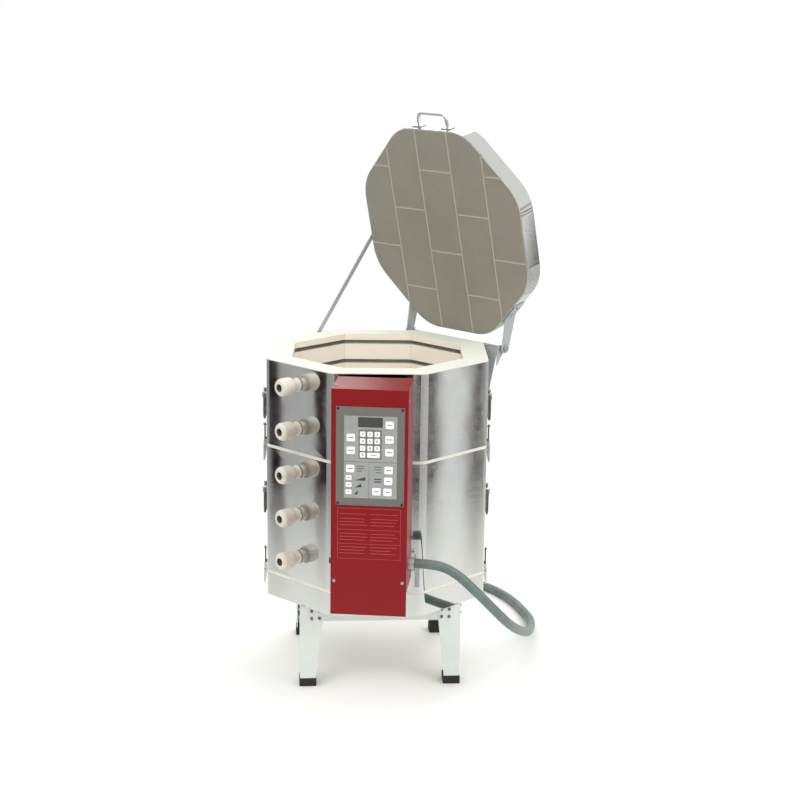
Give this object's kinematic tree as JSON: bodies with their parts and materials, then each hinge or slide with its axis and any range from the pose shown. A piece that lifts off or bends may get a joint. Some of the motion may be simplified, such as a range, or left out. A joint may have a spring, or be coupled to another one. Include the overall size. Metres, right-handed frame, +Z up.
{
  "type": "pottery kiln",
  "caption": "Eight-sided top-loading electric kiln: stacked firebrick rings in stainless jackets, hinged lid held open by a brace, side control box, peephole plugs and sheet stand.",
  "frame": {"origin": "on the floor, under the middle of the footprint box taken without the supply cord", "axes": "+Z up, -Y towards the front, where the control box is; the lid hinge is at the back right"},
  "size_m": [0.7607, 1.1079, 1.4669],
  "materials": {
    "firebrick": "matt, open-pored",
    "stainless_sheet": "bright rolled",
    "stand_paint": "satin pale grey",
    "foot_rubber": "matt",
    "zinc_steel": "zinc plated",
    "grey_bracket_paint": "satin grey",
    "heating_wire": "oxidised",
    "porcelain": "glazed",
    "chrome": "polished",
    "latch_steel": "nickel plated",
    "bail_wire": "dark zinc",
    "red_enamel": "gloss",
    "fascia_paint": "satin grey",
    "keypad_film": "fine matt",
    "display_filter": "gloss",
    "black_plastic": "moulded",
    "terminal_plastic": "moulded",
    "board_laminate": "solder mask",
    "cord_rubber": "matt"
  },
  "bodies": {
    "kiln": {"stand_leg_front_left": "stand_paint", "stand_leg_front_right": "stand_paint", "stand_leg_rear_right": "stand_paint", "stand_leg_rear_left": "stand_paint", "rubber_feet": "foot_rubber", "stand_bolts": "zinc_steel", "stand_rails": "stand_paint", "floor_slab": "firebrick", "floor_slab_band": "stainless_sheet", "lower_ring_brick": "firebrick", "upper_ring_brick": "firebrick", "lower_ring_jacket": "stainless_sheet", "upper_ring_jacket": "stainless_sheet", "heating_elements": "heating_wire", "element_terminals": "heating_wire", "thermocouple": "porcelain", "hinge_back_plate": "grey_bracket_paint", "hinge_rod": "zinc_steel", "brace_guide_stud": "zinc_steel", "handle_plates": "zinc_steel", "latch_plates": "latch_steel", "box_mounting_plate": "grey_bracket_paint", "power_cord": "cord_rubber", "power_plug": "black_plastic"},
    "lid": {"lid_slab": "firebrick", "lid_band": "stainless_sheet", "lid_handle": "chrome", "lid_hinge_arms": "grey_bracket_paint", "lid_fasteners": "zinc_steel"},
    "brace": {"lid_brace": "grey_bracket_paint"},
    "brace_guide": {"brace_guide": "grey_bracket_paint"},
    "control_box": {"box_chassis": "red_enamel", "box_front_panel": "red_enamel", "control_fascia": "fascia_paint", "keypad_overlay": "keypad_film", "display_window": "display_filter", "relays": "black_plastic", "controller_board": "board_laminate", "terminal_block": "terminal_plastic", "fuse_holder": "black_plastic", "cord_connector": "zinc_steel", "box_screws": "zinc_steel"},
    "box_hook": {"box_latch_hook": "black_plastic"},
    "plug_1": {"peephole_plug_1": "porcelain"},
    "plug_2": {"peephole_plug_2": "porcelain"},
    "plug_3": {"peephole_plug_3": "porcelain"},
    "plug_4": {"peephole_plug_4": "porcelain"},
    "plug_5": {"peephole_plug_5": "porcelain"},
    "bail_right_upper": {"handle_bail_right_upper": "bail_wire"},
    "lever_right_upper": {"latch_lever_right_upper": "latch_steel"},
    "latch_wire_right_upper": {"latch_bail_right_upper": "latch_steel"},
    "bail_right_lower": {"handle_bail_right_lower": "bail_wire"},
    "lever_right_lower": {"latch_lever_right_lower": "latch_steel"},
    "latch_wire_right_lower": {"latch_bail_right_lower": "latch_steel"},
    "bail_left_upper": {"handle_bail_left_upper": "bail_wire"},
    "lever_left_upper": {"latch_lever_left_upper": "latch_steel"},
    "latch_wire_left_upper": {"latch_bail_left_upper": "latch_steel"},
    "bail_left_lower": {"handle_bail_left_lower": "bail_wire"},
    "lever_left_lower": {"latch_lever_left_lower": "latch_steel"},
    "latch_wire_left_lower": {"latch_bail_left_lower": "latch_steel"}
  },
  "joints": [
    {"name": "lid_hinge", "type": "hinge", "parent": "kiln", "child": "lid", "pos_m": [0.15517, 0.23347, 0.8445], "axis": [-0.7071, 0.7071, 0], "range_deg": [-77, 0]},
    {"name": "brace_swing", "type": "hinge", "parent": "lid", "child": "brace", "pos_m": [-0.05935, 0.42419, 1.1281], "axis": [-0.7071, 0.7071, 0], "range_deg": [0, 38.5]},
    {"name": "brace_guide_swivel", "type": "hinge", "parent": "kiln", "child": "brace_guide", "pos_m": [-0.24654, 0.237, 0.8065], "axis": [-0.7071, 0.7071, 0], "range_deg": [-38.5, 0]},
    {"name": "box_hinge", "type": "hinge", "parent": "kiln", "child": "control_box", "pos_m": [-0.16189, -0.27914, 0.584], "axis": [0, 0, -1], "range_deg": [-6, 75], "deforming": ["power_cord"]},
    {"name": "box_hook_turn", "type": "hinge", "parent": "control_box", "child": "box_hook", "pos_m": [0.02331, -0.34436, 0.37], "axis": [0.9945, -0.1045, 0], "range_deg": [0, 60]},
    {"name": "plug_1_pull", "type": "slide", "parent": "kiln", "child": "plug_1", "axis": [-0.7071, -0.7071, 0], "range_m": [0, 0.09]},
    {"name": "plug_2_pull", "type": "slide", "parent": "kiln", "child": "plug_2", "axis": [-0.7071, -0.7071, 0], "range_m": [0, 0.09]},
    {"name": "plug_3_pull", "type": "slide", "parent": "kiln", "child": "plug_3", "axis": [-0.7071, -0.7071, 0], "range_m": [0, 0.09]},
    {"name": "plug_4_pull", "type": "slide", "parent": "kiln", "child": "plug_4", "axis": [-0.7071, -0.7071, 0], "range_m": [0, 0.09]},
    {"name": "plug_5_pull", "type": "slide", "parent": "kiln", "child": "plug_5", "axis": [-0.7071, -0.7071, 0], "range_m": [0, 0.09]},
    {"name": "bail_right_upper_lift", "type": "hinge", "parent": "kiln", "child": "bail_right_upper", "pos_m": [0.23566, 0.01741, 0.7385], "axis": [0, -1, 0], "range_deg": [0, 95]},
    {"name": "lever_right_upper_turn", "type": "hinge", "parent": "kiln", "child": "lever_right_upper", "pos_m": [0.23466, 0.01741, 0.6059], "axis": [0, -1, 0], "range_deg": [0, 90]},
    {"name": "latch_wire_right_upper_swing", "type": "hinge", "parent": "lever_right_upper", "child": "latch_wire_right_upper", "pos_m": [0.23666, 0.01741, 0.5939], "axis": [0, -1, 0], "range_deg": [-76, 0]},
    {"name": "bail_right_lower_lift", "type": "hinge", "parent": "kiln", "child": "bail_right_lower", "pos_m": [0.23566, 0.01741, 0.4799], "axis": [0, -1, 0], "range_deg": [0, 95]},
    {"name": "lever_right_lower_turn", "type": "hinge", "parent": "kiln", "child": "lever_right_lower", "pos_m": [0.23466, 0.01741, 0.263], "axis": [0, -1, 0], "range_deg": [0, 90]},
    {"name": "latch_wire_right_lower_swing", "type": "hinge", "parent": "lever_right_lower", "child": "latch_wire_right_lower", "pos_m": [0.23666, 0.01741, 0.251], "axis": [0, -1, 0], "range_deg": [-76, 0]},
    {"name": "bail_left_upper_lift", "type": "hinge", "parent": "kiln", "child": "bail_left_upper", "pos_m": [-0.35744, 0.01741, 0.7385], "axis": [0, 1, 0], "range_deg": [0, 95]},
    {"name": "lever_left_upper_turn", "type": "hinge", "parent": "kiln", "child": "lever_left_upper", "pos_m": [-0.35644, 0.01741, 0.6059], "axis": [0, 1, 0], "range_deg": [0, 90]},
    {"name": "latch_wire_left_upper_swing", "type": "hinge", "parent": "lever_left_upper", "child": "latch_wire_left_upper", "pos_m": [-0.35844, 0.01741, 0.5939], "axis": [0, 1, 0], "range_deg": [-76, 0]},
    {"name": "bail_left_lower_lift", "type": "hinge", "parent": "kiln", "child": "bail_left_lower", "pos_m": [-0.35744, 0.01741, 0.4799], "axis": [0, 1, 0], "range_deg": [0, 95]},
    {"name": "lever_left_lower_turn", "type": "hinge", "parent": "kiln", "child": "lever_left_lower", "pos_m": [-0.35644, 0.01741, 0.263], "axis": [0, 1, 0], "range_deg": [0, 90]},
    {"name": "latch_wire_left_lower_swing", "type": "hinge", "parent": "lever_left_lower", "child": "latch_wire_left_lower", "pos_m": [-0.35844, 0.01741, 0.251], "axis": [0, 1, 0], "range_deg": [-76, 0]}
  ],
  "couplings": [
    {"joint": "brace_swing", "follows": "lid_hinge", "ratio": -0.5},
    {"joint": "brace_guide_swivel", "follows": "lid_hinge", "ratio": 0.5},
    {"joint": "latch_wire_right_upper_swing", "follows": "lever_right_upper_turn", "ratio": -0.83},
    {"joint": "latch_wire_right_lower_swing", "follows": "lever_right_lower_turn", "ratio": -0.83},
    {"joint": "latch_wire_left_upper_swing", "follows": "lever_left_upper_turn", "ratio": -0.83},
    {"joint": "latch_wire_left_lower_swing", "follows": "lever_left_lower_turn", "ratio": -0.83}
  ]
}
